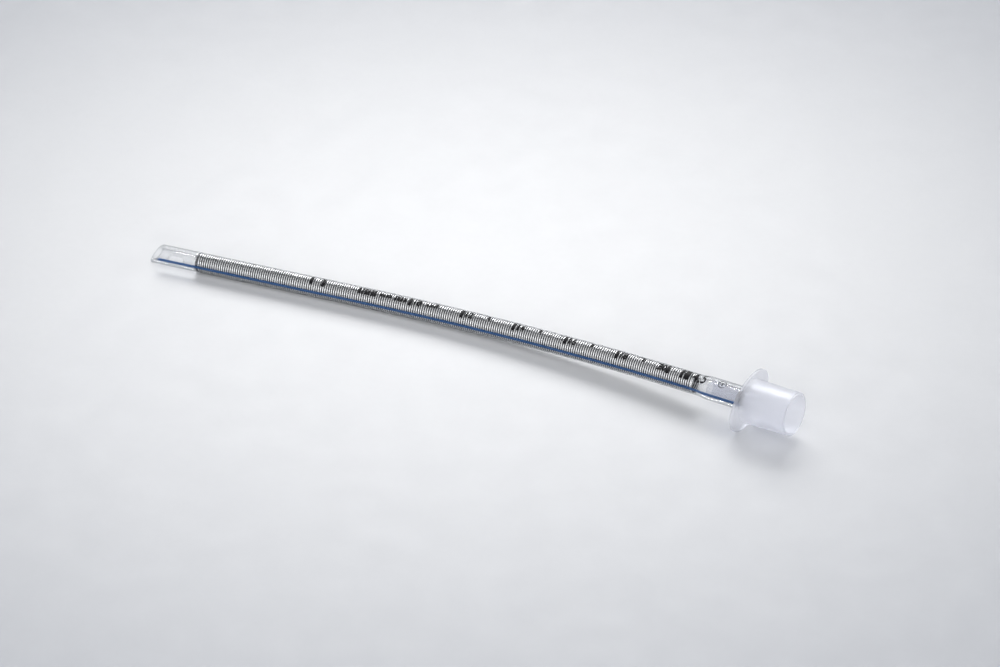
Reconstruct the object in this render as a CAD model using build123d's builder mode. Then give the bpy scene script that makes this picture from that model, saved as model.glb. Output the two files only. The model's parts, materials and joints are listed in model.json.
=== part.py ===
from build123d import *
from math import atan2, cos, degrees, pi, radians, sin, sqrt
import os

# Endotracheal tube, uncuffed, with a steel coil in its wall, lying on a flat surface. Millimetres.
# Its machine end points along +X. The flange of its connector props that end up, so the tube runs
# flat from its tip for a while and then bows sideways and upwards, in one plane that leans.

# Clear tube
tube_od = 7.2
lumen_dia = 4.5
tip_to_flange = 233.0
straight_run = 81.0
bow_angle = 13.2

# Bevelled tip and the eye in the wall behind it
bevel_angle = 46.0
bevel_roll = -27.0
eye_length = 6.4
eye_width = 3.8
eye_from_tip = 9.8

# Steel coil
coil_from_tip = 19.6
coil_to_flange = 20.0
coil_pitch = 0.84
wire_dia = 0.42
coil_mean_dia = 6.1
steps_per_turn = 6
wire_clearance = 0.03

# Blue line
line_width = 1.0
line_depth = 0.14
line_to_flange = 0.8

# Connector
spigot_dia = 5.8
spigot_bore = 4.4
spigot_length = 14.5
sleeve_wall = 1.12
flare_length = 3.5
flange_long = 25.0
flange_short = 15.8
flange_thickness = 1.1
flange_roll = 20.0
cone_big_dia = 15.4
cone_small_dia = 15.0
cone_length = 16.8
socket_dia = 13.4
socket_depth = 15.4

# Worked out from the sizes above
tube_radius = tube_od / 2
lumen_radius = lumen_dia / 2
spigot_radius = spigot_dia / 2
sleeve_radius = spigot_radius + sleeve_wall
machine_run = spigot_length + flare_length
bow_length = tip_to_flange - machine_run - straight_run
bow_radius = bow_length / radians(bow_angle)
coil_end = tip_to_flange - coil_to_flange

# The flange stands on the lowest point of its oval, which sets how far the bow leans upwards
flange_reach = sqrt(
    (flange_long / 2 * sin(radians(flange_roll))) ** 2
    + (flange_short / 2 * cos(radians(flange_roll))) ** 2
)
rise_per_lean = bow_radius * (1 - cos(radians(bow_angle))) + machine_run * sin(radians(bow_angle))
bow_lean = (flange_reach - tube_radius) / rise_per_lean
bow_level = sqrt(1 - bow_lean**2)

# Directions where the bow begins. The heading is turned so that the machine end points along +X.
turn_in_plan = atan2(sin(radians(bow_angle)) * bow_level, cos(radians(bow_angle)))
heading = Vector(cos(turn_in_plan), sin(turn_in_plan), 0)
up = Vector(0, 0, 1)
right = heading.cross(up)
inward = right * bow_level + up * bow_lean
bow_normal = heading.cross(inward)
tip_centre = up * tube_radius
bow_start = tip_centre + heading * straight_run
bow_axis = Axis(bow_start + inward * bow_radius, bow_normal)


def station(distance):
    """The plane across the tube at a distance from its tip: local X is left, local Y is up."""
    turned = min(max(distance - straight_run, 0) / bow_radius, radians(bow_angle))
    forward = heading * cos(turned) + inward * sin(turned)
    centreward = inward * cos(turned) - heading * sin(turned)
    left = centreward * -bow_level - bow_normal * bow_lean
    place = tip_centre + heading * min(distance, straight_run)
    place += (heading * sin(turned) + inward * (1 - cos(turned))) * bow_radius
    place += forward * max(distance - straight_run - bow_length, 0)
    return Plane(place, x_dir=left, z_dir=forward)


def lengthwise(distance, angle=90):
    """The plane through the axis at a distance: local X runs forward, local Y points out at the angle."""
    across = station(distance)
    outward = across.x_dir * cos(radians(angle)) + across.y_dir * sin(radians(angle))
    return Plane(across.origin, x_dir=across.z_dir, z_dir=across.z_dir.cross(outward))


def carry(section, start, end, mode=Mode.ADD):
    """Carry a section, given as a function, along the straight run and the bow."""
    if start < straight_run:
        with BuildSketch(station(start)) as profile:
            section()
        extrude(profile.sketch, amount=min(end, straight_run) - start, mode=mode)
    if end > straight_run:
        first = max(start, straight_run)
        with BuildSketch(station(first)) as profile:
            section()
        revolve(profile.sketch, bow_axis, degrees((end - first) / bow_radius), mode=mode)


def ring(outer, inner):
    Circle(outer)
    Circle(inner, mode=Mode.SUBTRACT)


def line_section():
    """The blue line's section: a shallow band let into the front of the tube."""
    half_angle = degrees(line_width / 2 / tube_radius)
    with BuildLine() as outline:
        rim = CenterArc((0, 0), tube_radius, 180 - half_angle, 2 * half_angle)
        bed = CenterArc((0, 0), tube_radius - line_depth, 180 - half_angle, 2 * half_angle)
        Line(rim @ 0, bed @ 0)
        Line(rim @ 1, bed @ 1)
    make_face(outline.edges())


machine_start = straight_run + bow_length
machine_axis = Axis(station(machine_start).origin, station(machine_start).z_dir)
tip_plane = station(0)
coil_outer = coil_mean_dia / 2 + wire_dia / 2
coil_inner = (coil_mean_dia / 2 - wire_dia / 2) * cos(pi / steps_per_turn)


def machine_band(outset, inset, length, start_angle, sweep_angle, mode=Mode.ADD):
    """A band along the flare and the sleeve, between two depths under its outer surface."""
    with BuildSketch(lengthwise(machine_start, start_angle)) as profile:
        with BuildLine():
            Polyline(
                (0, tube_radius - outset),
                (flare_length, sleeve_radius - outset),
                (length, sleeve_radius - outset),
                (length, sleeve_radius - inset),
                (flare_length, sleeve_radius - inset),
                (0, tube_radius - inset),
                close=True,
            )
        make_face()
    revolve(profile.sketch, machine_axis, sweep_angle, mode=mode)


def blue_line(mode=Mode.ADD):
    """The line's own solid, or its bed when it is cut out of the tube."""
    half_angle = degrees(line_width / 2 / tube_radius)
    carry(line_section, 0, machine_start, mode)
    machine_band(0, line_depth, machine_run - line_to_flange, 180 - half_angle, 2 * half_angle, mode)


def cut_bevel():
    """Cut the tip off slantwise. The heel of the cut is upwards and its point is underneath."""
    slope = radians(bevel_angle)
    heel = tip_plane.x_dir * sin(radians(bevel_roll)) + tip_plane.y_dir * cos(radians(bevel_roll))
    keep_side = tip_plane.z_dir * sin(slope) - heel * cos(slope)
    point = tip_plane.origin - heel * tube_radius
    split(bisect_by=Plane(point, z_dir=keep_side), keep=Keep.TOP)


# Clear tube: one piece with its lumen, the coil's pocket, the flare over the spigot, bevel and eye
with BuildPart() as tube:
    carry(lambda: Circle(tube_radius), 0, machine_start)
    with BuildSketch(lengthwise(machine_start)) as sleeve_profile:
        with BuildLine():
            Polyline(
                (0, 0),
                (0, tube_radius),
                (flare_length, sleeve_radius),
                (machine_run, sleeve_radius),
                (machine_run, 0),
                close=True,
            )
        make_face()
    revolve(sleeve_profile.sketch, machine_axis)
    carry(lambda: Circle(lumen_radius), 0, machine_start, Mode.SUBTRACT)
    with BuildSketch(lengthwise(machine_start)) as seat_profile:
        with BuildLine():
            Polyline(
                (0, 0),
                (0, lumen_radius),
                (flare_length, spigot_radius),
                (machine_run, spigot_radius),
                (machine_run, 0),
                close=True,
            )
        make_face()
    revolve(seat_profile.sketch, machine_axis, mode=Mode.SUBTRACT)
    pocket_outer = coil_outer + wire_clearance
    pocket_inner = coil_inner - wire_clearance
    pocket_margin = wire_dia / 2 + wire_clearance
    carry(
        lambda: ring(pocket_outer, pocket_inner),
        coil_from_tip - pocket_margin,
        coil_end + pocket_margin,
        Mode.SUBTRACT,
    )
    blue_line(Mode.SUBTRACT)
    cut_bevel()
    eye_plane = station(eye_from_tip)
    eye_outward = eye_plane.x_dir * sin(radians(bevel_roll)) + eye_plane.y_dir * cos(radians(bevel_roll))
    with BuildSketch(Plane(eye_plane.origin, x_dir=eye_plane.z_dir, z_dir=eye_outward * -1)) as eye:
        SlotOverall(eye_length, eye_width)
    extrude(eye.sketch, amount=tube_od, mode=Mode.SUBTRACT)
tube.part.label = "tube"

# Blue line that shows on an X-ray, let into the front of the tube from the bevel to the sleeve's end
with BuildPart() as radiopaque_line:
    blue_line()
    cut_bevel()
radiopaque_line.part.label = "radiopaque_line"


def wire_section(distance):
    """The wire's section where it has wound its way to a distance: three-sided, flat side outwards."""
    wound = 2 * pi * (distance - coil_from_tip) / coil_pitch
    across = station(distance)
    outward = across.x_dir * cos(wound) + across.y_dir * sin(wound)
    around = across.y_dir * cos(wound) - across.x_dir * sin(wound)
    middle = across.origin + outward * (coil_mean_dia / 2)
    with BuildSketch(Plane(middle, x_dir=across.z_dir, z_dir=around * -1)) as section:
        with BuildLine():
            Polyline(
                (-wire_dia / 2, wire_dia / 2),
                (wire_dia / 2, wire_dia / 2),
                (0, -wire_dia / 2),
                close=True,
            )
        make_face()
    return section.sketch


# Steel coil, wound to its real pitch
with BuildPart() as wire_coil:
    steps = round((coil_end - coil_from_tip) / coil_pitch * steps_per_turn)
    step_length = (coil_end - coil_from_tip) / steps
    loft([wire_section(coil_from_tip + step * step_length) for step in range(steps + 1)], ruled=True)
wire_coil.part.label = "wire_coil"

# Connector: one moulding with its spigot in the sleeve, an oval flange and a 15 mm cone
with BuildPart() as connector:
    spigot_start = machine_run - spigot_length
    cone_start = machine_run + flange_thickness
    cone_end = cone_start + cone_length
    with BuildSketch(lengthwise(machine_start)) as connector_profile:
        with BuildLine():
            Polyline(
                (spigot_start, spigot_bore / 2),
                (spigot_start, spigot_radius),
                (machine_run, spigot_radius),
                (machine_run, cone_big_dia / 2),
                (cone_start, cone_big_dia / 2),
                (cone_end, cone_small_dia / 2),
                (cone_end, socket_dia / 2),
                (cone_end - socket_depth, socket_dia / 2),
                (cone_end - socket_depth, spigot_bore / 2),
                close=True,
            )
        make_face()
    revolve(connector_profile.sketch, machine_axis)
    with BuildSketch(station(tip_to_flange)) as flange:
        Ellipse(flange_long / 2, flange_short / 2, rotation=flange_roll)
        Circle(spigot_radius, mode=Mode.SUBTRACT)
    extrude(flange.sketch, amount=flange_thickness)
connector.part.label = "connector"

# The origin is on the surface that the tube lies on, under the middle of its bounding box
pieces = (tube, wire_coil, radiopaque_line, connector)
box = tube.part.bounding_box().add(connector.part.bounding_box())
middle = (box.min + box.max) / 2
set_down = Location((-middle.X, -middle.Y, -box.min.Z))

os.makedirs("parts", exist_ok=True)
for piece in pieces:
    name = piece.part.label
    piece.part.move(set_down)
    piece.part.label = name
    export_step(piece.part, f"parts/{name}.step")
    print(name, round(piece.part.volume, 2), piece.part.bounding_box())

# Places of the interfaces, from the origin
flange_face = station(tip_to_flange).origin + set_down.position
cone_mouth = flange_face + machine_axis.direction * (flange_thickness + cone_length)
print("axis of the machine end", machine_axis.direction)
print("flange face", flange_face, "cone mouth", cone_mouth)
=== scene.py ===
# %% [markdown]
# # A wire-reinforced breathing tube, lying on a pale table
# The real thing is a soft clear tube with a steel coil cast into its wall, a blue line that shows on
# an X-ray, ink marks every centimetre, and a milky connector pushed into its machine end. The packed
# model is loaded first, as a fixed frame. Every piece below is made around it, in metres.

# %% Load the frame
import bpy, json, math
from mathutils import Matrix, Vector

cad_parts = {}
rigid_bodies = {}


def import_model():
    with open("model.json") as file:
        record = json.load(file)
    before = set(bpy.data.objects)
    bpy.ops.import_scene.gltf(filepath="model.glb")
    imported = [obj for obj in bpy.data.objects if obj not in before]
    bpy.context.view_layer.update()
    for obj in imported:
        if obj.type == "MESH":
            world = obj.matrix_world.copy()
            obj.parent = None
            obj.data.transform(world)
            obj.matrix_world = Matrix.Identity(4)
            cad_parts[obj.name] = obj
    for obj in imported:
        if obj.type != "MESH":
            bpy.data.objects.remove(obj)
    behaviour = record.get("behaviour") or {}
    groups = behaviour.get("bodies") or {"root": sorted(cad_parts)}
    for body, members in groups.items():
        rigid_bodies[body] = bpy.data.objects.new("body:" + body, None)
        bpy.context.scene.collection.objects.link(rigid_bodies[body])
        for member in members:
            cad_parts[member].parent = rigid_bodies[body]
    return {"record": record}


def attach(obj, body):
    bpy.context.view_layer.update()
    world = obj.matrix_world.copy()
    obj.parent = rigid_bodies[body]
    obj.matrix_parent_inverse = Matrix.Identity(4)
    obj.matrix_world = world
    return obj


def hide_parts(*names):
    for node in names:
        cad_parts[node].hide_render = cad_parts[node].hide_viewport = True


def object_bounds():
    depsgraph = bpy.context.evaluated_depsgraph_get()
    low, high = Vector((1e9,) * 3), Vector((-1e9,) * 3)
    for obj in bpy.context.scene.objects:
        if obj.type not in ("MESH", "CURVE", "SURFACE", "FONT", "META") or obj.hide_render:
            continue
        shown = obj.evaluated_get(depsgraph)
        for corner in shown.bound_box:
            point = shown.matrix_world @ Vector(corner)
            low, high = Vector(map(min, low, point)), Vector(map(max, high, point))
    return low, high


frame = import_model()
cad_low, cad_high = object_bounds()
bpy.ops.object.select_all(action="DESELECT")
MM = 0.001
print("CAD box in mm:", [round(v / MM, 2) for v in (*cad_low, *cad_high)])

# %% [markdown]
# ## The tube's axis
# The tube lies flat from its tip for a while, then bows sideways and upwards in one leaning plane,
# because the connector's flange props up its other end. A long soft tube is hard to model bent. It is
# easy to model straight, as it leaves the factory, so each piece is made straight along X and laid
# along this axis at the end. The sizes are those of the frame.

# %% Sizes of the tube and of its bow
TUBE_RADIUS = 3.6 * MM
LUMEN_RADIUS = 2.25 * MM
TIP_TO_FLANGE = 233.0 * MM
STRAIGHT_RUN = 81.0 * MM
BOW_ANGLE = math.radians(13.2)
FLARE_LENGTH = 3.5 * MM
SPIGOT_LENGTH = 14.5 * MM
SPIGOT_RADIUS = 2.9 * MM
SPIGOT_BORE_RADIUS = 2.2 * MM
SLEEVE_RADIUS = 4.02 * MM
FLANGE_LONG = 25.0 * MM
FLANGE_SHORT = 15.8 * MM
FLANGE_THICKNESS = 1.1 * MM
FLANGE_ROLL = math.radians(20)

MACHINE_RUN = SPIGOT_LENGTH + FLARE_LENGTH
BOW_LENGTH = TIP_TO_FLANGE - MACHINE_RUN - STRAIGHT_RUN
BOW_RADIUS = BOW_LENGTH / BOW_ANGLE
MACHINE_START = STRAIGHT_RUN + BOW_LENGTH
flange_reach = math.hypot(
    FLANGE_LONG / 2 * math.sin(FLANGE_ROLL), FLANGE_SHORT / 2 * math.cos(FLANGE_ROLL)
)
rise_per_lean = BOW_RADIUS * (1 - math.cos(BOW_ANGLE)) + MACHINE_RUN * math.sin(BOW_ANGLE)
bow_lean = (flange_reach - TUBE_RADIUS) / rise_per_lean
bow_level = math.sqrt(1 - bow_lean**2)
turn_in_plan = math.atan2(math.sin(BOW_ANGLE) * bow_level, math.cos(BOW_ANGLE))

UP = Vector((0, 0, 1))
heading = Vector((math.cos(turn_in_plan), math.sin(turn_in_plan), 0))
inward = heading.cross(UP) * bow_level + UP * bow_lean
bow_normal = heading.cross(inward)


# %% A point on the axis, and the laying of a straight piece along it
def station(distance):
    """Place, forward, left and up at a distance from the tip, before the tube is set down."""
    turned = min(max(distance - STRAIGHT_RUN, 0) / BOW_RADIUS, BOW_ANGLE)
    forward = heading * math.cos(turned) + inward * math.sin(turned)
    centreward = inward * math.cos(turned) - heading * math.sin(turned)
    left = -(centreward * bow_level + bow_normal * bow_lean)
    place = UP * TUBE_RADIUS + heading * min(distance, STRAIGHT_RUN)
    place += (heading * math.sin(turned) + inward * (1 - math.cos(turned))) * BOW_RADIUS
    place += forward * max(distance - STRAIGHT_RUN - BOW_LENGTH, 0)
    return place, forward, left, forward.cross(left)


def laid(point):
    """Where a point of a straight piece goes: X is the distance from the tip, Y is left, Z is up."""
    place, forward, left, up = station(point.x)
    if point.x < 0:
        place = place + forward * point.x
    return place + left * point.y + up * point.z + set_down


# %% Set the axis down where the frame has it
CONE_LENGTH = 16.8 * MM
cone_mount = next(m for m in frame["record"]["mounts"] if m["name"] == "machine_cone")
set_down = Vector((0, 0, 0))
cone_middle = Vector((TIP_TO_FLANGE + FLANGE_THICKNESS + CONE_LENGTH / 2, 0, 0))
set_down = Vector(cone_mount["pos_m"]) - laid(cone_middle)
print("the axis is set down by, in mm:", [round(v / MM, 3) for v in set_down])

# %% [markdown]
# ## Helpers for modelling by hand
# An operator acts on all that is selected, so each step starts from an empty selection. Turned shapes
# start as a circle that is extruded along the axis and resized, ring by ring, just as a turner reads a
# profile. The finished piece is laid along the axis last, with its object left at the origin.


# %% Selecting, naming and editing
def start_fresh():
    if bpy.context.object and bpy.context.object.mode != "OBJECT":
        bpy.ops.object.mode_set(mode="OBJECT")
    bpy.ops.object.select_all(action="DESELECT")


def select_only(piece):
    start_fresh()
    bpy.context.view_layer.objects.active = piece
    piece.select_set(True)


def name_it(piece, name):
    piece.name = name
    piece.data.name = name
    return piece


def settle():
    """Put the place, turn and size of what is selected into its mesh."""
    bpy.ops.object.transform_apply(location=True, rotation=True, scale=True)


def edit_all():
    bpy.ops.object.mode_set(mode="EDIT")
    bpy.ops.mesh.select_all(action="SELECT")


def select_open_edges():
    bpy.ops.mesh.select_mode(type="EDGE")
    bpy.ops.mesh.select_all(action="DESELECT")
    bpy.ops.mesh.select_non_manifold(extend=False)


def turn_outwards():
    """Point every face outwards, and leave edit mode."""
    bpy.ops.mesh.select_all(action="SELECT")
    bpy.ops.mesh.normals_make_consistent(inside=False)
    bpy.ops.object.mode_set(mode="OBJECT")


# %% Turning a profile
def turned_shape(name, rings, sides):
    """Extrude and resize a circle along X. Each ring is its place along the tube and its radius."""
    start_fresh()
    place, radius = rings[0]
    bpy.ops.mesh.primitive_circle_add(
        vertices=sides, radius=radius, location=(place, 0, 0), rotation=(0, math.pi / 2, 0)
    )
    piece = name_it(bpy.context.object, name)
    settle()
    edit_all()
    for next_place, next_radius in rings[1:]:
        bpy.ops.mesh.extrude_region_move(TRANSFORM_OT_translate={"value": (next_place - place, 0, 0)})
        grow = next_radius / radius
        bpy.ops.transform.resize(value=(1, grow, grow), center_override=(next_place, 0, 0))
        place, radius = next_place, next_radius
    return piece


def close_turned_shape(piece):
    """Bridge the first and last rings of a turned shape, and point its faces outwards."""
    select_open_edges()
    bpy.ops.mesh.bridge_edge_loops()
    turn_outwards()
    return piece


# %% Finishing a piece and laying it
def apply_modifiers(piece):
    select_only(piece)
    for modifier in list(piece.modifiers):
        bpy.ops.object.modifier_apply(modifier=modifier.name)


def smooth(piece, angle):
    """Shade a piece smooth, but keep edges that turn by more than an angle in degrees."""
    select_only(piece)
    bpy.ops.object.shade_smooth_by_angle(angle=math.radians(angle))


def lay_along_axis(piece):
    """Bend a straight piece onto the tube's axis, point by point."""
    for vertex in piece.data.vertices:
        vertex.co = laid(vertex.co)
    piece.data.update()


def places(first, last, step):
    """Evenly spaced places from first to last, no further apart than the step."""
    count = max(1, math.ceil(abs(last - first) / step))
    return [first + (last - first) * i / count for i in range(count + 1)]


# %% [markdown]
# ## The clear tube
# It is one piece of soft clear plastic with a wall of 1.35 mm. Its machine end is stretched over the
# connector's spigot, so it flares and its wall gets thinner. The outer surface is drawn out first, then
# the end of the sleeve, then the lumen on the way back. The tip is cut slantwise with bisect, and the
# cut edge is bridged and rounded, as heat rounds it on the real one.

# %% Draw out the tube's two surfaces
TUBE_SIDES = 72
RING_STEP = 2.5 * MM
SPARE_AT_TIP = 2.0 * MM
PRESS_FIT = 0.01 * MM
MACHINE_FLARED = MACHINE_START + FLARE_LENGTH
RIM_START = TIP_TO_FLANGE - 0.4 * MM
RIM_SHOULDER = (TIP_TO_FLANGE - 0.15 * MM, SLEEVE_RADIUS - 0.08 * MM)
RIM_EDGE = (TIP_TO_FLANGE - 0.05 * MM, SLEEVE_RADIUS - 0.3 * MM)


def surface_radius(x):
    """The tube's outer radius at a distance from its tip, which swells smoothly over the spigot."""
    share = min(max((x - MACHINE_START) / FLARE_LENGTH, 0), 1)
    return TUBE_RADIUS + (SLEEVE_RADIUS - TUBE_RADIUS) * (3 * share**2 - 2 * share**3)


outside_places = places(-SPARE_AT_TIP, MACHINE_START, RING_STEP)
outside_places += [MACHINE_START + FLARE_LENGTH * share for share in (0.2, 0.4, 0.6, 0.8)]
outside_places += places(MACHINE_FLARED, RIM_START, RING_STEP)
outside = [(x, surface_radius(x)) for x in outside_places] + [RIM_SHOULDER, RIM_EDGE]
seat = SPIGOT_RADIUS - PRESS_FIT
inside = [(RIM_EDGE[0], seat)]
inside += [(x, seat) for x in places(RIM_START, MACHINE_FLARED, RING_STEP)]
inside += [(x, LUMEN_RADIUS) for x in places(MACHINE_START, -SPARE_AT_TIP, RING_STEP)]
tube = turned_shape("tube_wall", outside + inside, TUBE_SIDES)
print("rings in the tube:", len(outside) + len(inside))

# %% Cut the bevel and round its edge
BEVEL_ANGLE = math.radians(46)
BEVEL_ROLL = math.radians(-27)
TIP_ROUNDING = 0.28 * MM
MERGE_WITHIN = 0.001 * MM
heel = Vector((0, math.sin(BEVEL_ROLL), math.cos(BEVEL_ROLL)))
bevel_point = heel * -TUBE_RADIUS
bevel_normal = Vector((math.sin(BEVEL_ANGLE), 0, 0)) - heel * math.cos(BEVEL_ANGLE)
bpy.ops.mesh.select_all(action="SELECT")
bpy.ops.mesh.bisect(plane_co=bevel_point, plane_no=bevel_normal, clear_inner=True)
select_open_edges()
bpy.ops.mesh.bridge_edge_loops()
bpy.ops.mesh.region_to_loop()
bpy.ops.mesh.bevel(offset=TIP_ROUNDING, segments=4, affect="EDGES", profile=0.5)
bpy.ops.mesh.select_all(action="SELECT")
bpy.ops.mesh.remove_doubles(threshold=MERGE_WITHIN)
turn_outwards()

# %% [markdown]
# ### The eye
# The eye is the oval hole opposite the bevel, which lets gas pass if the tip is blocked. A circle is
# pulled out to a slot and given depth, and a Boolean takes it out of the lower wall alone.


# %% Taking one shape out of another, or joining it on
def combine(piece, operation, tool):
    """Take a tool out of a piece or join it on, with a Boolean, and remove the tool."""
    boolean = piece.modifiers.new("combine", "BOOLEAN")
    boolean.operation = operation
    boolean.solver = "EXACT"
    boolean.object = tool
    apply_modifiers(piece)
    bpy.data.objects.remove(tool)


# %% Cut the eye
EYE_LENGTH = 6.4 * MM
EYE_WIDTH = 3.8 * MM
EYE_FROM_TIP = 9.8 * MM
EYE_SIDES = 48
start_fresh()
bpy.ops.mesh.primitive_circle_add(vertices=EYE_SIDES, radius=EYE_WIDTH / 2, fill_type="NGON")
cutter = name_it(bpy.context.object, "eye_cutter")
for vertex in cutter.data.vertices:
    vertex.co.x += math.copysign((EYE_LENGTH - EYE_WIDTH) / 2, vertex.co.x)
edit_all()
bpy.ops.mesh.extrude_region_move(TRANSFORM_OT_translate={"value": (0, 0, -2 * TUBE_RADIUS)})
turn_outwards()
cutter.rotation_euler = (-BEVEL_ROLL, 0, 0)
cutter.location = (EYE_FROM_TIP, 0, 0)
settle()
combine(tube, "DIFFERENCE", cutter)
smooth(tube, angle=50)
lay_along_axis(tube)
print("faces in the tube:", len(tube.data.polygons))

# %% [markdown]
# ## The steel coil
# The wire is 0.42 mm thick and wound about 230 times. A small circle stands beside the axis, and a
# Screw modifier carries it round and along, which gives a true helix. At each end the real wire runs
# once round on itself, so a ring closes the coil there. The coil is drawn wider than it is wound,
# because a clear wall magnifies what lies in it, and light goes straight through the drawn wall.

# %% Wind the coil
COIL_FROM_TIP = 20.6 * MM
COIL_END = TIP_TO_FLANGE - 20.2 * MM
COIL_PITCH = 0.84 * MM
COIL_RADIUS = 3.24 * MM
WIRE_RADIUS = 0.21 * MM
WIRE_SIDES = 8
STEPS_PER_TURN = 24
turns = round((COIL_END - COIL_FROM_TIP) / COIL_PITCH)
start_fresh()
bpy.ops.mesh.primitive_circle_add(
    vertices=WIRE_SIDES, radius=WIRE_RADIUS, location=(COIL_RADIUS, 0, 0), rotation=(math.pi / 2, 0, 0)
)
coil = name_it(bpy.context.object, "steel_coil")
settle()
winding = coil.modifiers.new("winding", "SCREW")
winding.axis = "Z"
winding.angle = 2 * math.pi
winding.screw_offset = (COIL_END - COIL_FROM_TIP) / turns
winding.iterations = turns
winding.steps = STEPS_PER_TURN
winding.render_steps = STEPS_PER_TURN
winding.use_smooth_shade = True
apply_modifiers(coil)
coil.rotation_euler = (0, math.pi / 2, 0)
coil.location = (COIL_FROM_TIP, 0, 0)
settle()
bpy.ops.object.mode_set(mode="EDIT")
select_open_edges()
bpy.ops.mesh.edge_face_add()
turn_outwards()
print("turns in the coil:", turns)

# %% Close the coil with a ring at each end
FIRST_RING = COIL_FROM_TIP - 1.0 * MM
LAST_RING = COIL_END + 0.2 * MM
RING_SEGMENTS = 48
for ring_place in (FIRST_RING, LAST_RING):
    bpy.ops.mesh.primitive_torus_add(
        major_radius=COIL_RADIUS,
        minor_radius=WIRE_RADIUS,
        major_segments=RING_SEGMENTS,
        minor_segments=WIRE_SIDES,
        location=(ring_place, 0, 0),
        rotation=(0, math.pi / 2, 0),
    )
    ring = bpy.context.object
    settle()
    select_only(coil)
    ring.select_set(True)
    bpy.ops.object.join()
smooth(coil, angle=60)
lay_along_axis(coil)
print("faces in the coil:", len(coil.data.polygons))

# %% [markdown]
# ### Painted shade between the turns
# The turns are sunk in clear plastic, and the gaps between them look dark. A thin dark turned shell
# just inside the wires' middle is painted shade there: it keeps the gaps darker than the wire, and
# little of the far side of the coil shows through it. The shade could be a pattern on the wall
# instead, but a shell keeps its place from every side.

# %% Turn the shell of painted shade
SHADE_SHELL_OUTER = 3.22 * MM
SHADE_SHELL_INNER = 3.16 * MM
SHADE_SHELL_START = COIL_FROM_TIP - 0.6 * MM
SHADE_SHELL_END = COIL_END - 0.3 * MM
shade_shell_places = places(SHADE_SHELL_START, SHADE_SHELL_END, RING_STEP)
shade_shell = turned_shape(
    "painted_shade_shell",
    [(x, SHADE_SHELL_OUTER) for x in shade_shell_places] + [(x, SHADE_SHELL_INNER) for x in reversed(shade_shell_places)],
    TUBE_SIDES,
)
close_turned_shape(shade_shell)
smooth(shade_shell, angle=50)
lay_along_axis(shade_shell)
print("faces in the bed:", len(shade_shell.data.polygons))

# %% [markdown]
# ## The blue line
# The line is a thin strip in the tube's surface, on the side that faces the front. It is a narrow plane
# with its thickness, cut across often enough to bend, and rolled onto the surface.


# %% Rolling flat work onto the tube
def roll_on(piece, angle):
    """Roll flat work onto the tube: its Y goes round from an angle off the top, its Z stands out."""
    for vertex in piece.data.vertices:
        radius = surface_radius(vertex.co.x)
        around = angle + vertex.co.y / radius
        reach = radius + vertex.co.z
        vertex.co = Vector((vertex.co.x, reach * math.sin(around), reach * math.cos(around)))
    piece.data.update()


def slice_across(piece, axis, first, last, step):
    """Cut flat work across at even places, so that it can bend there."""
    select_only(piece)
    bpy.ops.object.mode_set(mode="EDIT")
    for place in places(first, last, step)[1:-1]:
        bpy.ops.mesh.select_all(action="SELECT")
        point = Vector((0, 0, 0))
        point[axis] = place
        normal = Vector((0, 0, 0))
        normal[axis] = 1
        bpy.ops.mesh.bisect(plane_co=point, plane_no=normal)
    bpy.ops.object.mode_set(mode="OBJECT")


# %% Lay the blue line into the surface
LINE_WIDTH = 1.0 * MM
LINE_DEPTH = 0.14 * MM
LINE_UNDER = 0.02 * MM
LINE_ANGLE = math.radians(-90)
LINE_START = 2.0 * MM
LINE_END = TIP_TO_FLANGE - 0.8 * MM
line_middle = Vector(((LINE_START + LINE_END) / 2, 0, -LINE_UNDER - LINE_DEPTH / 2))
start_fresh()
bpy.ops.mesh.primitive_cube_add(size=1, location=line_middle)
line = name_it(bpy.context.object, "blue_stripe")
line.scale = (LINE_END - LINE_START, LINE_WIDTH, LINE_DEPTH)
settle()
slice_across(line, 0, LINE_START, LINE_END, RING_STEP / 2)
slice_across(line, 1, -LINE_WIDTH / 2, LINE_WIDTH / 2, LINE_WIDTH / 4)
roll_on(line, LINE_ANGLE)
edit_all()
line_cut = bevel_point + bevel_normal * TIP_ROUNDING
bpy.ops.mesh.bisect(plane_co=line_cut, plane_no=bevel_normal, use_fill=True, clear_inner=True)
bpy.ops.object.mode_set(mode="OBJECT")
smooth(line, angle=30)
lay_along_axis(line)
print("faces in the blue line:", len(line.data.polygons))

# %% [markdown]
# ## The ink
# Depth marks are printed in black every centimetre from 10 to 20: a full bar with its number at the even
# ones and a short tick at the odd ones. The font's outlines become a mesh, which is cut into narrow
# strips so that it can be rolled onto the tube, and gets the thickness of a coat of ink.

# %% The ink's sizes
INK_ANGLE = math.radians(-16)
INK_COAT = 0.03 * MM
INK_SUNK = 0.01 * MM
BAR_HEIGHT = 3.5 * MM
BAR_WIDTH = 1.1 * MM
TICK_HEIGHT = 1.8 * MM
TICK_WIDTH = 0.9 * MM
DIGIT_SIZE = 4.0 * MM
DIGIT_BOLD = 0.09 * MM
DIGIT_SQUEEZE = 0.82
SIZE_MARK = 5.6 * MM
NUMBER_GAP = 0.8 * MM
CENTIMETRE = 10 * MM
MARKS_FROM_TIP = 3.0 * MM
ink_parts = []


def ink_bar(x, width, height, middle=0.0):
    start_fresh()
    bpy.ops.mesh.primitive_plane_add(size=1, location=(x, middle, 0))
    bar = bpy.context.object
    bar.scale = (width, height, 1)
    settle()
    ink_parts.append(bar)


def ink_number(x, words, size, align="LEFT"):
    start_fresh()
    bpy.ops.object.text_add(location=(x, 0, 0))
    text = bpy.context.object
    text.data.body = words
    text.data.size = size
    text.data.align_x = align
    text.data.align_y = "CENTER"
    text.data.offset = DIGIT_BOLD
    text.data.resolution_u = 4
    text.scale.x = DIGIT_SQUEEZE
    bpy.ops.object.convert(target="MESH")
    settle()
    ink_parts.append(bpy.context.object)


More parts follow.
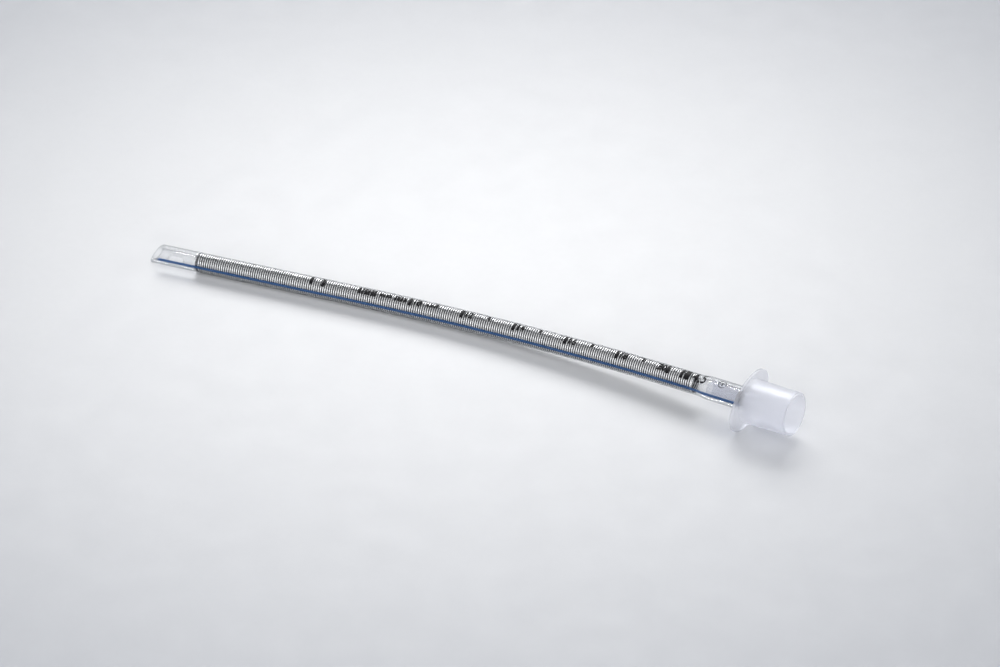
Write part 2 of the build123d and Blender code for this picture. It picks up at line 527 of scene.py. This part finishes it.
def ink_ring(x, radius, width):
    start_fresh()
    bpy.ops.mesh.primitive_circle_add(vertices=40, radius=radius, fill_type="NGON", location=(x, 0, 0))
    settle()
    edit_all()
    bpy.ops.mesh.inset(thickness=width)
    bpy.ops.mesh.delete(type="FACE")
    bpy.ops.object.mode_set(mode="OBJECT")
    ink_parts.append(bpy.context.object)


# %% Print the scale
EARLY_MARKS = (62.0 * MM, 66.5 * MM)
FIRST_MARK, LAST_MARK = 10, 20
for mark in EARLY_MARKS:
    ink_bar(MARKS_FROM_TIP + mark, BAR_WIDTH, BAR_HEIGHT)
for centimetre in range(FIRST_MARK, LAST_MARK + 1):
    mark = MARKS_FROM_TIP + centimetre * CENTIMETRE
    if centimetre % 2:
        ink_bar(mark, TICK_WIDTH, TICK_HEIGHT, (BAR_HEIGHT - TICK_HEIGHT) / 2)
        continue
    ink_bar(mark, BAR_WIDTH, BAR_HEIGHT)
    if centimetre < LAST_MARK:
        ink_number(mark + NUMBER_GAP, str(centimetre), DIGIT_SIZE)
    else:
        ink_number(mark - NUMBER_GAP, str(centimetre), DIGIT_SIZE, "RIGHT")
SIZE_PLACE = 212.6 * MM
ink_number(SIZE_PLACE, "4.5", SIZE_MARK)

# %% [markdown]
# Between the marks the print goes on with rows of small blocks, two upright bars before the size, and a
# ring with a short bar in it near the flange. They are the same flat shapes, set at their own places.

# %% Print the blocks, the bars and the ring
UPRIGHT_HEIGHT = 3.9 * MM
for upright, width in ((208.6 * MM, 0.9 * MM), (210.6 * MM, 1.9 * MM)):
    ink_bar(upright, width, UPRIGHT_HEIGHT)
INK_RING_PLACE = 224.1 * MM
INK_RING_RADIUS = 1.5 * MM
INK_RING_LINE = 0.22 * MM
ink_ring(INK_RING_PLACE, INK_RING_RADIUS, INK_RING_LINE)
ink_bar(INK_RING_PLACE, 0.5 * MM, 1.3 * MM)
BLOCK_WIDTH = 0.85 * MM
BLOCK_STEP = 1.2 * MM
# Each row has the place of its first block, how many there are, and their height, in millimetres
for first, count, height in ((83.4, 6, 2.6), (91.6, 4, 1.3), (97.2, 4, 2.0), (109.6, 3, 0.9)):
    for block in range(count):
        ink_bar(first * MM + block * BLOCK_STEP, BLOCK_WIDTH, height * MM)
print("flat shapes in the print:", len(ink_parts))

# %% Join the ink, give it its coat and roll it on
INK_SLICE = 0.35 * MM
FLARE_SLICE = 0.5 * MM
select_only(ink_parts[0])
for part in ink_parts[1:]:
    part.select_set(True)
bpy.ops.object.join()
ink = name_it(bpy.context.object, "ink_scale")
slice_across(ink, 1, -SIZE_MARK / 2, SIZE_MARK / 2, INK_SLICE)
slice_across(ink, 0, MACHINE_START, MACHINE_FLARED, FLARE_SLICE)
coat = ink.modifiers.new("coat", "SOLIDIFY")
coat.thickness = INK_COAT
coat.offset = 1
apply_modifiers(ink)
for vertex in ink.data.vertices:
    vertex.co.z -= INK_SUNK
roll_on(ink, INK_ANGLE)
lay_along_axis(ink)
print("faces in the ink:", len(ink.data.polygons))

# %% [markdown]
# ## The connector
# It is one milky moulding: a spigot inside the sleeve, an oval flange, and the cone that fits every
# breathing circuit. The round parts are turned, the flange is a circle stretched to an oval and given
# thickness, and a Boolean joins them. Inside the flange the body has a slightly smaller neck, so that
# the two meet in no common face. A Bevel modifier then rounds every edge as a mould does.

# %% Turn the connector's body
CONE_BIG_RADIUS = 7.7 * MM
CONE_SMALL_RADIUS = 7.5 * MM
SOCKET_RADIUS = 6.7 * MM
SOCKET_DEPTH = 15.4 * MM
CONNECTOR_SIDES = 96
LEAD_IN_LENGTH = 0.8 * MM
LEAD_IN_DROP = 0.35 * MM
spigot_start = TIP_TO_FLANGE - SPIGOT_LENGTH
cone_start = TIP_TO_FLANGE + FLANGE_THICKNESS
cone_end = cone_start + CONE_LENGTH
NECK_START = TIP_TO_FLANGE + 0.3 * MM
NECK_END = cone_start - 0.2 * MM
NECK_RADIUS = CONE_BIG_RADIUS - 0.3 * MM
body_rings = [
    (spigot_start, SPIGOT_RADIUS - LEAD_IN_DROP),
    (spigot_start + LEAD_IN_LENGTH, SPIGOT_RADIUS),
    (NECK_START, SPIGOT_RADIUS),
    (NECK_START, NECK_RADIUS),
    (NECK_END, NECK_RADIUS),
    (NECK_END, CONE_BIG_RADIUS),
    (cone_end, CONE_SMALL_RADIUS),
    (cone_end, SOCKET_RADIUS),
    (cone_end - SOCKET_DEPTH, SOCKET_RADIUS),
    (cone_end - SOCKET_DEPTH, SPIGOT_BORE_RADIUS),
    (spigot_start, SPIGOT_BORE_RADIUS),
]
connector = close_turned_shape(turned_shape("cone_connector", body_rings, CONNECTOR_SIDES))
print("faces in the connector's body:", len(connector.data.polygons))

# %% Make the oval flange and join it on
FLANGE_HOLE_RADIUS = 3.4 * MM
MOULD_ROUNDING = 0.3 * MM
start_fresh()
bpy.ops.mesh.primitive_circle_add(
    vertices=CONNECTOR_SIDES, radius=0.5, fill_type="NGON", rotation=(0, math.pi / 2, 0)
)
flange = name_it(bpy.context.object, "flange")
settle()
flange.scale = (1, FLANGE_LONG, FLANGE_SHORT)
settle()
flange.rotation_euler = (FLANGE_ROLL, 0, 0)
flange.location = (TIP_TO_FLANGE, 0, 0)
settle()
edit_all()
bpy.ops.mesh.extrude_region_move(TRANSFORM_OT_translate={"value": (FLANGE_THICKNESS, 0, 0)})
turn_outwards()
start_fresh()
bpy.ops.mesh.primitive_cylinder_add(
    vertices=CONNECTOR_SIDES,
    radius=FLANGE_HOLE_RADIUS,
    depth=3 * FLANGE_THICKNESS,
    location=(TIP_TO_FLANGE, 0, 0),
    rotation=(0, math.pi / 2, 0),
)
hole = bpy.context.object
settle()
combine(flange, "DIFFERENCE", hole)
combine(connector, "UNION", flange)
rounding = connector.modifiers.new("rounding", "BEVEL")
rounding.width = MOULD_ROUNDING
rounding.segments = 3
rounding.limit_method = "ANGLE"
rounding.angle_limit = math.radians(40)
apply_modifiers(connector)
smooth(connector, angle=35)
lay_along_axis(connector)
print("faces in the connector:", len(connector.data.polygons))

# %% [markdown]
# ## Materials
# The clear plastic lets nearly all light straight through, is a little darker at its edges, and mirrors
# more there. The moulding is milky: part of the light goes through it and the rest scatters. The wire
# is bright steel over a dark grey shell of painted shade. Ink and blue plastic are too dull to mirror
# the lights. Nothing real is equally smooth all over, so noise on Object coordinates varies each finish.


# %% A shader with its main values
def plain_shader(name, colour, roughness, **values):
    material = bpy.data.materials.new(name)
    material.use_nodes = True
    shader = material.node_tree.nodes["Principled BSDF"]
    shader.inputs["Base Color"].default_value = (*colour, 1)
    shader.inputs["Roughness"].default_value = roughness
    for socket, value in values.items():
        shader.inputs[socket.replace("_", " ")].default_value = value
    return material, material.node_tree, shader


# %% Noise, ranges and mixed colours
def object_noise(tree, scale, detail):
    """Noise on Object coordinates, which stays with the piece."""
    where = tree.nodes.new("ShaderNodeTexCoord")
    noise = tree.nodes.new("ShaderNodeTexNoise")
    noise.inputs["Scale"].default_value = scale
    noise.inputs["Detail"].default_value = detail
    tree.links.new(where.outputs["Object"], noise.inputs["Vector"])
    return noise.outputs["Fac"]


def map_range(tree, number, **ends):
    """Carry a number from one range to another. An end that isn't given stays at 0 or 1."""
    node = tree.nodes.new("ShaderNodeMapRange")
    for end, value in ends.items():
        node.inputs[end.replace("_", " ")].default_value = value
    tree.links.new(number, node.inputs["Value"])
    return node


def mix_colours(tree, share, first, second):
    """Go from one colour to another by a share."""
    node = tree.nodes.new("ShaderNodeMix")
    node.data_type = "RGBA"
    node.inputs["A"].default_value = (*first, 1)
    node.inputs["B"].default_value = (*second, 1)
    tree.links.new(share, node.inputs["Factor"])
    return node.outputs["Result"]


# %% Uneven surfaces
def mottle(tree, shader, scale, low, high):
    """Vary the roughness a little over the surface."""
    spread = map_range(tree, object_noise(tree, scale, detail=3), To_Min=low, To_Max=high)
    tree.links.new(spread.outputs["Result"], shader.inputs["Roughness"])


def ripple(tree, shader, scale, height):
    """A shallow bump, as a moulded or dipped surface has."""
    bump = tree.nodes.new("ShaderNodeBump")
    bump.inputs["Strength"].default_value = 0.4
    bump.inputs["Distance"].default_value = height
    tree.links.new(object_noise(tree, scale, detail=2), bump.inputs["Height"])
    tree.links.new(bump.outputs["Normal"], shader.inputs["Normal"])


# %% Light that goes through, and gloss over it
def let_through(tree, shader, share, tint, edge_tint=None):
    """Let a share of the light straight through, so that the piece doesn't throw a black shadow."""
    straight = tree.nodes.new("ShaderNodeBsdfTransparent")
    straight.inputs["Color"].default_value = (*tint, 1)
    mix = tree.nodes.new("ShaderNodeMixShader")
    mix.inputs["Fac"].default_value = share
    tree.links.new(shader.outputs["BSDF"], mix.inputs[1])
    tree.links.new(straight.outputs["BSDF"], mix.inputs[2])
    tree.links.new(mix.outputs["Shader"], tree.nodes["Material Output"].inputs["Surface"])
    if edge_tint:
        edge = tree.nodes.new("ShaderNodeLayerWeight")
        edge.inputs["Blend"].default_value = 0.3
        tree.links.new(mix_colours(tree, edge.outputs["Facing"], tint, edge_tint), straight.inputs["Color"])
    return mix


def clearer_where_pressed(tree, mix, edge, fade, pressed_share, free_share):
    """Frosted plastic loses its haze where soft plastic is pressed onto it, here up to a place on X."""
    where = tree.nodes.new("ShaderNodeTexCoord")
    split = tree.nodes.new("ShaderNodeSeparateXYZ")
    tree.links.new(where.outputs["Object"], split.inputs["Vector"])
    share = map_range(
        tree, split.outputs["X"], From_Min=edge - fade, From_Max=edge, To_Min=pressed_share, To_Max=free_share
    )
    tree.links.new(share.outputs["Result"], mix.inputs["Fac"])


def gloss_over(tree, mix, head_on, grazing, roughness):
    """Lay a reflection over a mixed shader that grows towards the edges, alike on both sides of a wall.

    The fifth power keeps it low until the surface is seen almost edge-on."""
    mirror = tree.nodes.new("ShaderNodeBsdfGlossy")
    mirror.inputs["Roughness"].default_value = roughness
    facing = tree.nodes.new("ShaderNodeLayerWeight")
    facing.inputs["Blend"].default_value = 0.5
    steep = tree.nodes.new("ShaderNodeMath")
    steep.operation = "POWER"
    steep.inputs[1].default_value = 5
    amount = map_range(tree, steep.outputs["Value"], To_Min=head_on, To_Max=grazing)
    over = tree.nodes.new("ShaderNodeMixShader")
    tree.links.new(facing.outputs["Facing"], steep.inputs[0])
    tree.links.new(amount.outputs["Result"], over.inputs["Fac"])
    tree.links.new(mix.outputs["Shader"], over.inputs[1])
    tree.links.new(mirror.outputs["BSDF"], over.inputs[2])
    tree.links.new(over.outputs["Shader"], tree.nodes["Material Output"].inputs["Surface"])


# %% The six finishes
clear, clear_tree, clear_shader = plain_shader(
    "clear_soft_plastic", (0.97, 0.985, 0.99), 0.03, Transmission_Weight=1.0, IOR=1.35
)
mottle(clear_tree, clear_shader, scale=180, low=0.01, high=0.05)
ripple(clear_tree, clear_shader, scale=60, height=0.002 * MM)
clear_mix = let_through(
    clear_tree, clear_shader, share=0.95, tint=(0.99, 0.992, 0.995), edge_tint=(0.62, 0.635, 0.65)
)
gloss_over(clear_tree, clear_mix, head_on=0.006, grazing=0.5, roughness=0.15)

# The shell's dark grey is painted shade for the gaps between the turns, not a colour of the plastic
gap_shade, gap_shade_tree, gap_shade_shader = plain_shader("painted_gap_shade", (0.1, 0.1, 0.105), 0.6)
mottle(gap_shade_tree, gap_shade_shader, scale=180, low=0.5, high=0.7)
let_through(gap_shade_tree, gap_shade_shader, share=0.2, tint=(0.98, 0.98, 0.985))

steel, steel_tree, steel_shader = plain_shader("bright_wire", (0.97, 0.97, 0.975), 0.25, Metallic=1.0)
mottle(steel_tree, steel_shader, scale=900, low=0.22, high=0.34)

blue, blue_tree, blue_shader = plain_shader("blue_strip", (0.06, 0.16, 0.36), 0.45)
mottle(blue_tree, blue_shader, scale=400, low=0.38, high=0.5)
let_through(blue_tree, blue_shader, share=0.45, tint=(0.42, 0.55, 0.8))

MILKY_SHARE = 0.66
milky, milky_tree, milky_shader = plain_shader(
    "milky_moulding", (0.95, 0.955, 0.98), 0.35, Transmission_Weight=0.5, IOR=1.4
)
mottle(milky_tree, milky_shader, scale=220, low=0.3, high=0.42)
ripple(milky_tree, milky_shader, scale=160, height=0.02 * MM)
milky_mix = let_through(milky_tree, milky_shader, share=MILKY_SHARE, tint=(0.95, 0.955, 0.98))
flange_x = laid(Vector((TIP_TO_FLANGE, 0, 0))).x
clearer_where_pressed(
    milky_tree, milky_mix, edge=flange_x, fade=1.0 * MM, pressed_share=0.9, free_share=MILKY_SHARE
)

black, black_tree, black_shader = plain_shader(
    "black_ink", (0.006, 0.006, 0.008), 0.6, Specular_IOR_Level=0.2
)
mottle(black_tree, black_shader, scale=700, low=0.5, high=0.7)
print("the moulding is clearer up to, in mm:", round(flange_x / MM, 2))

# %% Dress the pieces, attach them to the frame and hide the parts they replace
for piece, node, slot_name, material in (
    (tube, "tube", "clear_tube", clear),
    (coil, "wire_coil", "steel_wire", steel),
    (line, "radiopaque_line", "blue_line", blue),
    (connector, "connector", "milky_moulding", milky),
    # The shell of painted shade between the turns
    (shade_shell, None, "clear_tube", gap_shade),
    (ink, None, "blue_line", black),
):
    piece.data.materials.clear()
    piece.data.materials.append(material)
    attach(piece, "root")
    if node:
        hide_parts(node)
    print(piece.name, "has", material.name)

# %% [markdown]
# ## Floor, light and camera
# The photo was taken on a pale seamless table under soft light from above, in front and behind. The
# table is brightest in the middle and fades to grey, as under a lamp with a small reach, and that fade
# is in its material. A long lens looks down at about 33 degrees.

# %% A shade that fades from the middle
GRAIN_SCALE = 300
GRAIN_LOW, GRAIN_HIGH = 0.985, 1.015


def shade_from_middle(tree, shader, middle, reach, middle_colour, far_colour):
    """Darken a flat material away from its lit middle, with a faint grain over it."""
    where = tree.nodes.new("ShaderNodeTexCoord")
    away = tree.nodes.new("ShaderNodeVectorMath")
    away.operation = "DISTANCE"
    away.inputs[1].default_value = middle
    tree.links.new(where.outputs["Object"], away.inputs[0])
    share = map_range(tree, away.outputs["Value"], From_Max=reach)
    share.interpolation_type = "SMOOTHSTEP"
    grain = object_noise(tree, GRAIN_SCALE, detail=4)
    speck = map_range(tree, grain, To_Min=GRAIN_LOW, To_Max=GRAIN_HIGH)
    grained = tree.nodes.new("ShaderNodeVectorMath")
    grained.operation = "SCALE"
    shades = mix_colours(tree, share.outputs["Result"], middle_colour, far_colour)
    tree.links.new(shades, grained.inputs[0])
    tree.links.new(speck.outputs["Result"], grained.inputs["Scale"])
    tree.links.new(grained.outputs["Vector"], shader.inputs["Base Color"])


# %% The pale table
CAMERA_AZIMUTH = math.radians(34.4)
TABLE_SIZE = 6
TABLE_LIT = (0.78, 0.785, 0.8)
TABLE_FAR = (0.38, 0.395, 0.43)
TABLE_REACH = 0.38
toward = Vector((math.sin(CAMERA_AZIMUTH), -math.cos(CAMERA_AZIMUTH), 0))
LIT_SPOT = -toward * 0.05
floor_height = cad_low.z
start_fresh()
bpy.ops.mesh.primitive_plane_add(size=TABLE_SIZE, location=(0, 0, floor_height))
table = name_it(bpy.context.object, "pale_table")
settle()
pale, pale_tree, pale_shader = plain_shader("pale_table", TABLE_LIT, 0.6)
mottle(pale_tree, pale_shader, scale=90, low=0.5, high=0.7)
shade_from_middle(pale_tree, pale_shader, LIT_SPOT, TABLE_REACH, TABLE_LIT, TABLE_FAR)
table.data.materials.append(pale)
print("the table lies at, in mm:", round(floor_height / MM, 3))


# %% Soft lights
def soft_light(name, place, size, power, spread=180):
    """A rectangle of soft light that faces the lit spot. Its spread is in degrees."""
    start_fresh()
    bpy.ops.object.light_add(type="AREA", location=place)
    light = bpy.context.object
    light.name = name
    light.data.shape = "RECTANGLE"
    light.data.size, light.data.size_y = size
    light.data.energy = power
    light.data.spread = math.radians(spread)
    light.rotation_euler = (LIT_SPOT - Vector(place)).to_track_quat("-Z", "Y").to_euler()
    print(name, "light at", [round(v, 3) for v in place])


soft_light("key", -toward * 0.98 + UP * 0.74, size=(1.1, 0.6), power=3.1, spread=70)
soft_light("top", toward * 0.35 + UP * 1.10, size=(2.2, 0.6), power=4.6)
soft_light("front", toward * 0.92 + UP * 0.48, size=(2.4, 0.8), power=10.5)
world = bpy.data.worlds.new("studio")
world.use_nodes = True
background = world.node_tree.nodes["Background"]
background.inputs["Color"].default_value = (0.86, 0.92, 1.0, 1)
background.inputs["Strength"].default_value = 0.12
bpy.context.scene.world = world

# %% The camera, at the photo's angle
CAMERA_ELEVATION = math.radians(32.785)
CAMERA_DISTANCE = 1.0795
FOCAL_PIXELS = 3110.6
PHOTO_WIDTH = 1000
SENSOR_WIDTH = 36.0
camera_target = Vector((7.952 * MM, 9.783 * MM, floor_height))
start_fresh()
bpy.ops.object.camera_add()
camera = bpy.context.object
camera.data.sensor_width = SENSOR_WIDTH
camera.data.lens = FOCAL_PIXELS / PHOTO_WIDTH * SENSOR_WIDTH
camera.data.clip_start = 0.05
back = toward * math.cos(CAMERA_ELEVATION) + UP * math.sin(CAMERA_ELEVATION)
camera.location = camera_target + back * CAMERA_DISTANCE
camera.rotation_euler = back.to_track_quat("Z", "Y").to_euler()
bpy.context.scene.camera = camera
bpy.context.scene.view_settings.view_transform = "Standard"
print("lens in mm:", round(camera.data.lens, 1))
